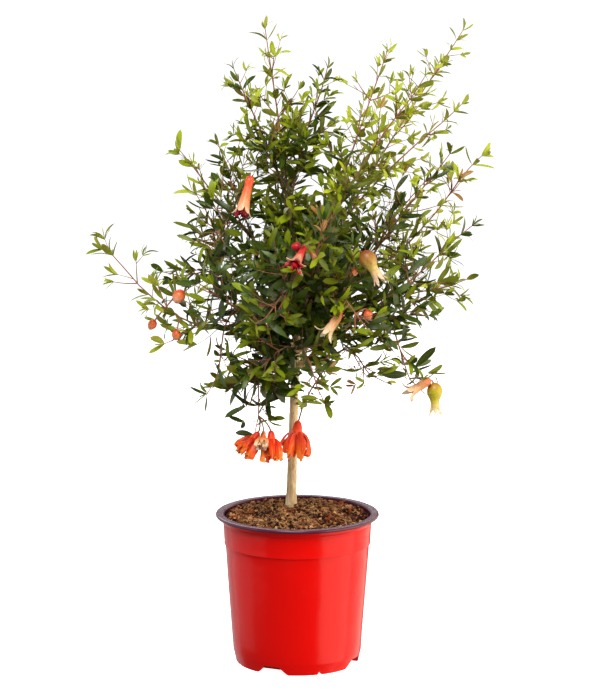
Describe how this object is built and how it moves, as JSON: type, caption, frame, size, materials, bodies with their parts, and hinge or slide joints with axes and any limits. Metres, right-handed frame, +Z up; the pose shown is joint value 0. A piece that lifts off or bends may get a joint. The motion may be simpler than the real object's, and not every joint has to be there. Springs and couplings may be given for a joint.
{
  "type": "potted pomegranate tree",
  "caption": "Small standard pomegranate tree in bloom and young fruit, with a slim trunk, spreading boughs and leafy masses, in a round tapered nursery pot filled with soil.",
  "frame": {"origin": "centre of the pot's flat underside, on the ground", "axes": "+Z up along the trunk, +X to the crown's right and -Y to its front"},
  "size_m": [0.4434, 0.3504, 0.7496],
  "materials": {
    "pot": "smooth glossy red polypropylene, with a dark aubergine rim and inside",
    "soil": "loose crumbly brown peat mix, matt",
    "bark": "pale grey-beige bark with darker knots, matt",
    "foliage": "glossy green leaves, yellow-green at the shoots, with orange-red blossom and tan-green fruit"
  },
  "bodies": {
    "root": {"pot": "pot", "soil": "soil", "trunk": "bark", "bough_leader": "bark", "bough_front_high": "bark", "bough_back_high": "bark", "bough_right": "bark", "bough_right_low": "bark", "bough_back_right": "bark", "bough_front": "bark", "bough_front_left": "bark", "bough_left_high": "bark", "bough_back_left": "bark", "bough_back": "bark", "bough_low_front": "bark", "bough_low_left": "bark", "bough_low_right": "bark", "bough_low_back": "bark", "mass_top_leader": "foliage", "mass_top_left": "foliage", "mass_top_right": "foliage", "mass_high_front": "foliage", "mass_high_middle": "foliage", "mass_high_right": "foliage", "mass_high_back": "foliage", "mass_right_tip": "foliage", "mass_right_upper": "foliage", "mass_right_lower": "foliage", "mass_right_out": "foliage", "mass_right_hang": "foliage", "mass_back_right": "foliage", "mass_back_right_low": "foliage", "mass_front_up": "foliage", "mass_front_right": "foliage", "mass_front_left": "foliage", "mass_left_tip": "foliage", "mass_left_hang": "foliage", "mass_left_front": "foliage", "mass_left_high": "foliage", "mass_left_upper": "foliage", "mass_left_middle": "foliage", "mass_left_dark": "foliage", "mass_back_left": "foliage", "mass_back_up": "foliage", "mass_back_low": "foliage", "mass_low_front": "foliage", "mass_low_front_left": "foliage", "mass_low_flowers": "foliage", "mass_low_left": "foliage", "mass_low_right": "foliage", "mass_low_back": "foliage"}
  },
  "joints": []
}
